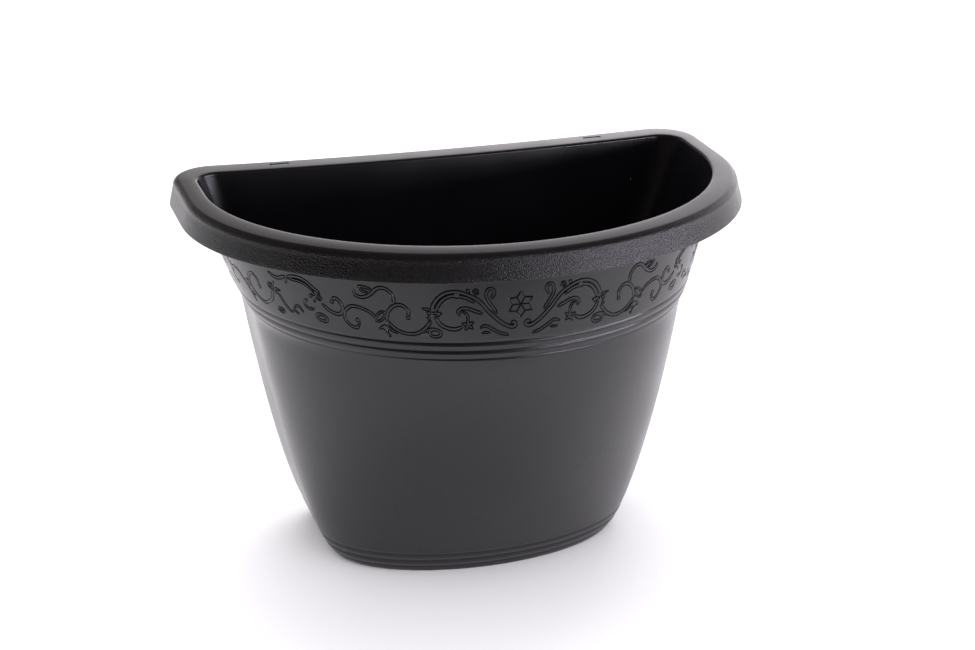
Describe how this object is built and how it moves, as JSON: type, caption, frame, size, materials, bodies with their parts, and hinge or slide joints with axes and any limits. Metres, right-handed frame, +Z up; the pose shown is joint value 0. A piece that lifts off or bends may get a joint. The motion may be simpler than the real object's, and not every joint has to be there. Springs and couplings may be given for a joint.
{
  "type": "wall planter",
  "caption": "Half-round wall planter with a turned-down rim, ribbed bowl, lift-out drainage grid, drain plugs and screw-on wall hooks.",
  "frame": {"origin": "on the table under the middle of the pot's box", "axes": "+Z up, -Y out of the round front, +Y to the building wall, +X to the right seen from the front"},
  "size_m": [0.3, 0.18, 0.2],
  "materials": {
    "pot_plastic": "black moulded polypropylene, satin bowl and fine-grained skirt",
    "grid_plastic": "black moulded polypropylene",
    "plug_rubber": "soft black rubber",
    "hook_steel": "zinc-plated steel strip"
  },
  "bodies": {
    "pot": {"pot_shell": "pot_plastic"},
    "grid": {"drain_grid": "grid_plastic"},
    "plug_1": {"drain_plug_1": "plug_rubber"},
    "plug_2": {"drain_plug_2": "plug_rubber"},
    "plug_3": {"drain_plug_3": "plug_rubber"},
    "plug_4": {"drain_plug_4": "plug_rubber"},
    "hook_left": {"wall_hook_left": "hook_steel"},
    "hook_right": {"wall_hook_right": "hook_steel"}
  },
  "joints": [
    {"name": "grid_lift", "type": "slide", "parent": "pot", "child": "grid", "axis": [0, 0, 1], "range_m": [0, 0.2]},
    {"name": "plug_1_pull", "type": "slide", "parent": "pot", "child": "plug_1", "axis": [0, 0, -1], "range_m": [0, 0.012]},
    {"name": "plug_2_pull", "type": "slide", "parent": "pot", "child": "plug_2", "axis": [0, 0, -1], "range_m": [0, 0.012]},
    {"name": "plug_3_pull", "type": "slide", "parent": "pot", "child": "plug_3", "axis": [0, 0, -1], "range_m": [0, 0.012]},
    {"name": "plug_4_pull", "type": "slide", "parent": "pot", "child": "plug_4", "axis": [0, 0, -1], "range_m": [0, 0.012]},
    {"name": "hook_left_drop", "type": "slide", "parent": "pot", "child": "hook_left", "axis": [0, 0, -1], "range_m": [0, 0.016]},
    {"name": "hook_right_drop", "type": "slide", "parent": "pot", "child": "hook_right", "axis": [0, 0, -1], "range_m": [0, 0.016]}
  ]
}
